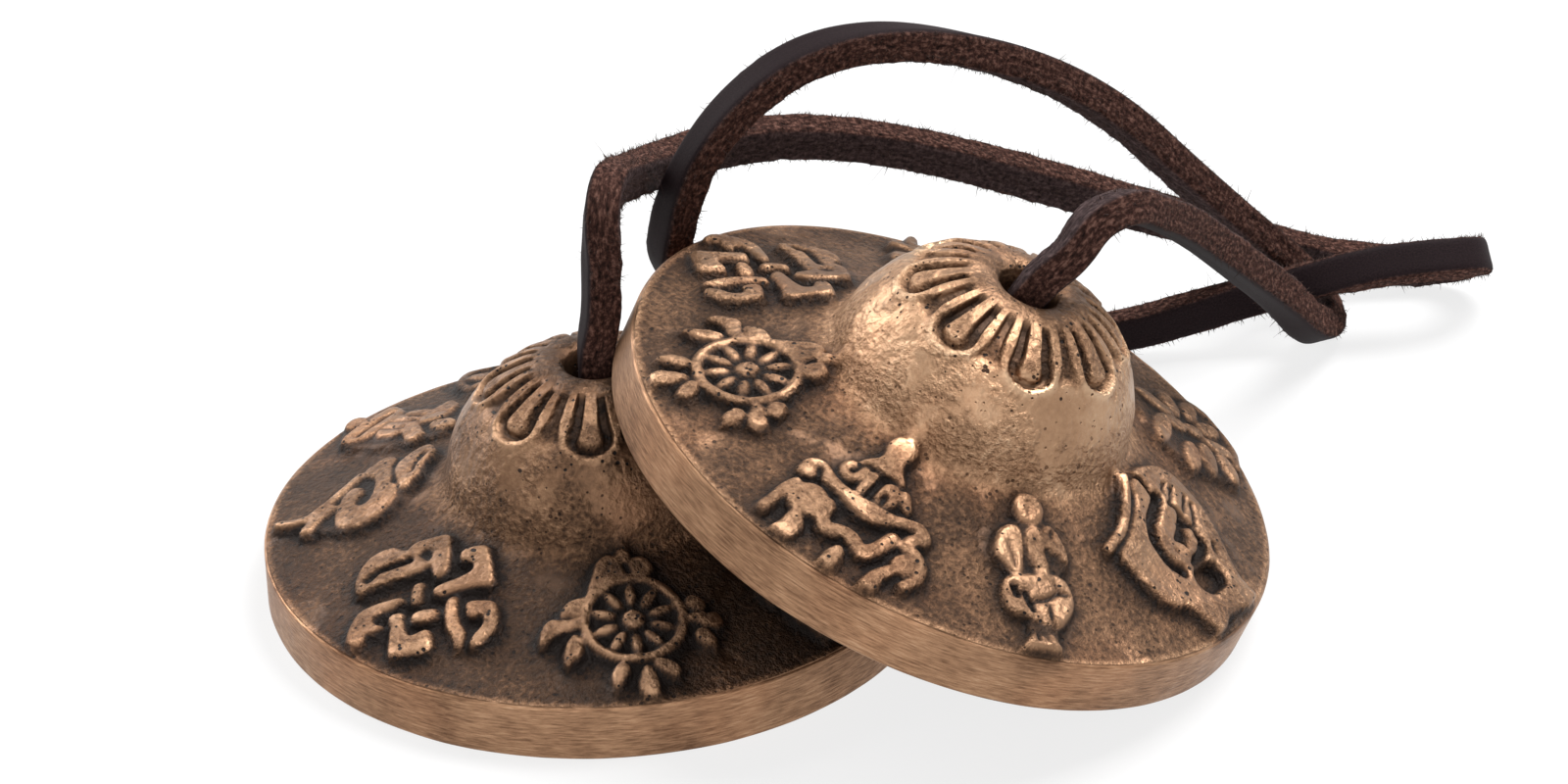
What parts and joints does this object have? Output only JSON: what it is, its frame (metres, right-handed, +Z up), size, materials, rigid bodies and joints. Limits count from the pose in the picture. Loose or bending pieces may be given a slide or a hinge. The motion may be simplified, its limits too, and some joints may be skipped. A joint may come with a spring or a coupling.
{
  "type": "tingsha cymbals",
  "caption": "Domed cast bronze hand cymbals with lotus petals and symbols in relief, joined by a leather thong knotted inside each dome.",
  "frame": {"origin": "on the floor, under the middle of the box round the two cymbals", "axes": "+Z up, +X from the cymbal lying flat towards the one leaning on it, +Y away from the viewer"},
  "size_m": [0.1244, 0.0942, 0.0469],
  "materials": {
    "bronze": "antique cast bronze with brown patina, dark in the recesses and worn bright on the high places",
    "leather": "dark brown grain on one face, rough reddish-brown flesh side and cut edges"
  },
  "bodies": {
    "strap": {"strap": "leather"},
    "left_knot": {"left_knot": "leather"},
    "left_cymbal": {"left_cymbal": "bronze"},
    "right_knot": {"right_knot": "leather"},
    "right_cymbal": {"right_cymbal": "bronze"}
  },
  "joints": [
    {"name": "left_tilt", "type": "hinge", "parent": "strap", "child": "left_knot", "pos_m": [-0.01561, 0.00273, 0.0234], "axis": [0.1616, 0.9869, 0], "range_deg": [0, 20]},
    {"name": "left_spin", "type": "hinge", "parent": "left_knot", "child": "left_cymbal", "pos_m": [-0.01561, 0.00273, 0.0234], "axis": [0, 0, 1], "continuous": true},
    {"name": "right_tilt", "type": "hinge", "parent": "strap", "child": "right_knot", "pos_m": [0.02519, -0.00395, 0.03429], "axis": [-0.9869, 0.1616, 0], "range_deg": [0, 10]},
    {"name": "right_spin", "type": "hinge", "parent": "right_knot", "child": "right_cymbal", "pos_m": [0.02519, -0.00395, 0.03429], "axis": [0.388, -0.0635, 0.9195], "continuous": true}
  ]
}
